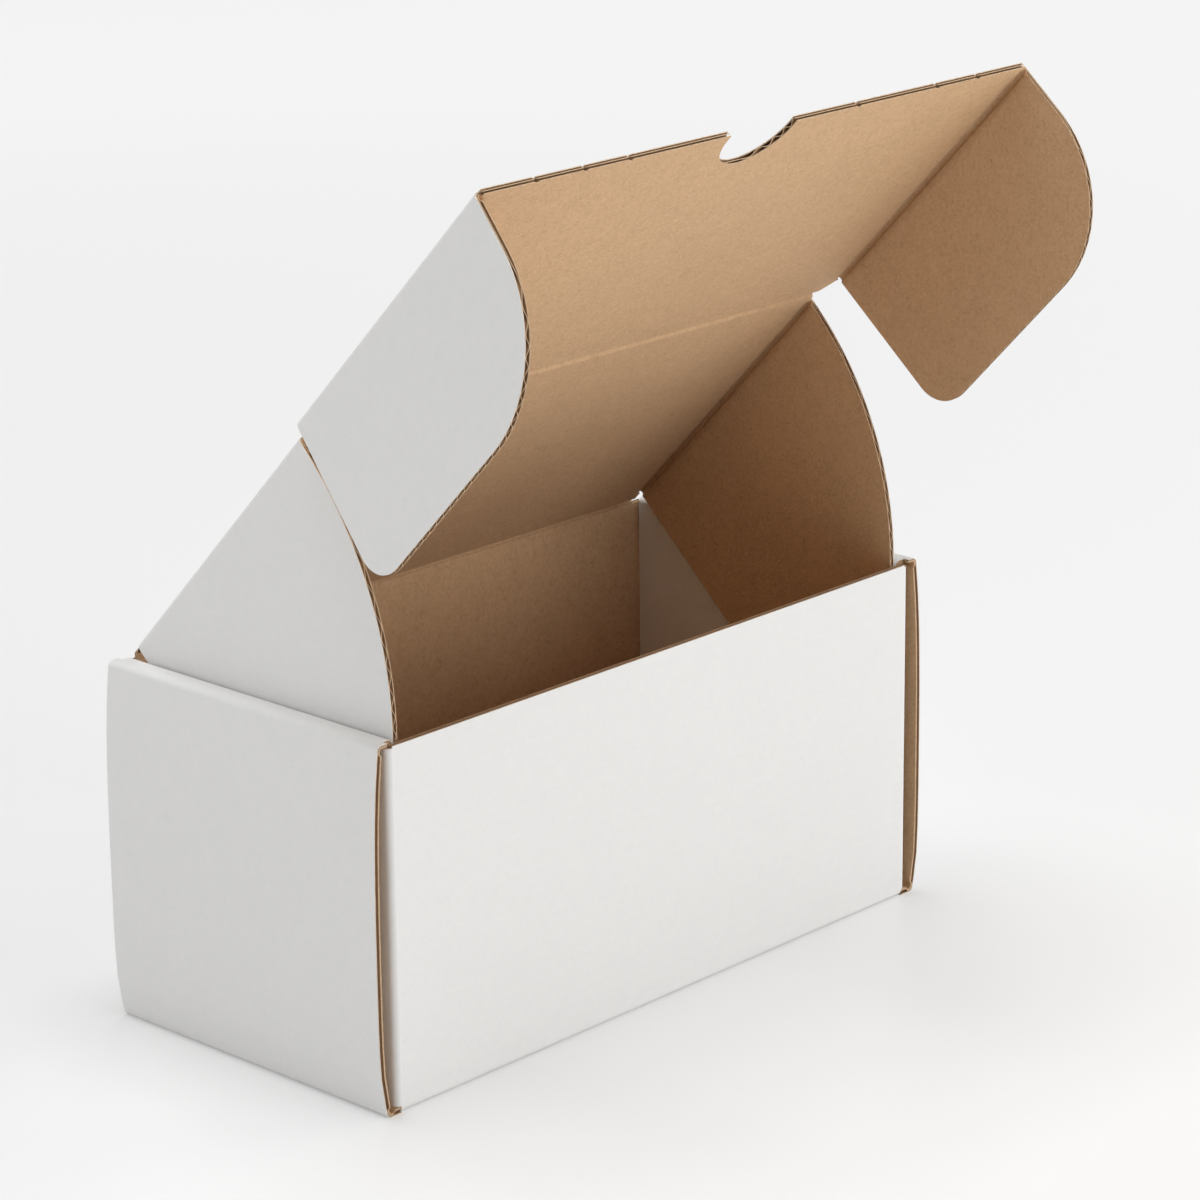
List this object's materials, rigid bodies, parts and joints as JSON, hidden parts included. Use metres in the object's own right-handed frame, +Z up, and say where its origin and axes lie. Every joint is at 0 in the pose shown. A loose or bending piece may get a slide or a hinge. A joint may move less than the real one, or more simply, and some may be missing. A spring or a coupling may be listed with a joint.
{
  "type": "corrugated mailer box",
  "caption": "Roll-end corrugated mailer box, half open: tray with rolled double end walls, hinged lid with side flaps, front flap with ears and thumb notch.",
  "frame": {"origin": "middle of the tray's underside, on the surface the box stands on", "axes": "+X along the box to its right end, -Y to the front, where the lid opens, +Z up"},
  "size_m": [0.208, 0.1511, 0.2329],
  "materials": {
    "board": "matt, white outside and brown kraft inside"
  },
  "bodies": {
    "tray": {"tray": "board"},
    "lid": {"lid": "board"},
    "front_flap": {"front_flap": "board"},
    "lid_flap_left": {"lid_flap_left": "board"},
    "lid_flap_right": {"lid_flap_right": "board"},
    "ear_left": {"ear_left": "board"},
    "ear_right": {"ear_right": "board"}
  },
  "joints": [
    {"name": "lid_hinge", "type": "hinge", "parent": "tray", "child": "lid", "pos_m": [0, 0.0472, 0.0949], "axis": [-1, 0, 0], "range_deg": [-46.5, 133.5]},
    {"name": "front_flap_fold", "type": "hinge", "parent": "lid", "child": "front_flap", "pos_m": [0, -0.01909, 0.16475], "axis": [-1, 0, 0], "range_deg": [-75, 85]},
    {"name": "lid_flap_left_fold", "type": "hinge", "parent": "lid", "child": "lid_flap_left", "pos_m": [-0.0914, 0.01358, 0.12917], "axis": [0, -0.6884, 0.7254], "range_deg": [0, 85]},
    {"name": "ear_left_fold", "type": "hinge", "parent": "front_flap", "child": "ear_left", "pos_m": [-0.097, -0.05271, 0.19902], "axis": [0, -0.6884, 0.7254], "range_deg": [-81, 85]},
    {"name": "lid_flap_right_fold", "type": "hinge", "parent": "lid", "child": "lid_flap_right", "pos_m": [0.0914, 0.01358, 0.12917], "axis": [0, 0.6884, -0.7254], "range_deg": [0, 85]},
    {"name": "ear_right_fold", "type": "hinge", "parent": "front_flap", "child": "ear_right", "pos_m": [0.097, -0.05271, 0.19902], "axis": [0, 0.6884, -0.7254], "range_deg": [-87, 85]}
  ]
}
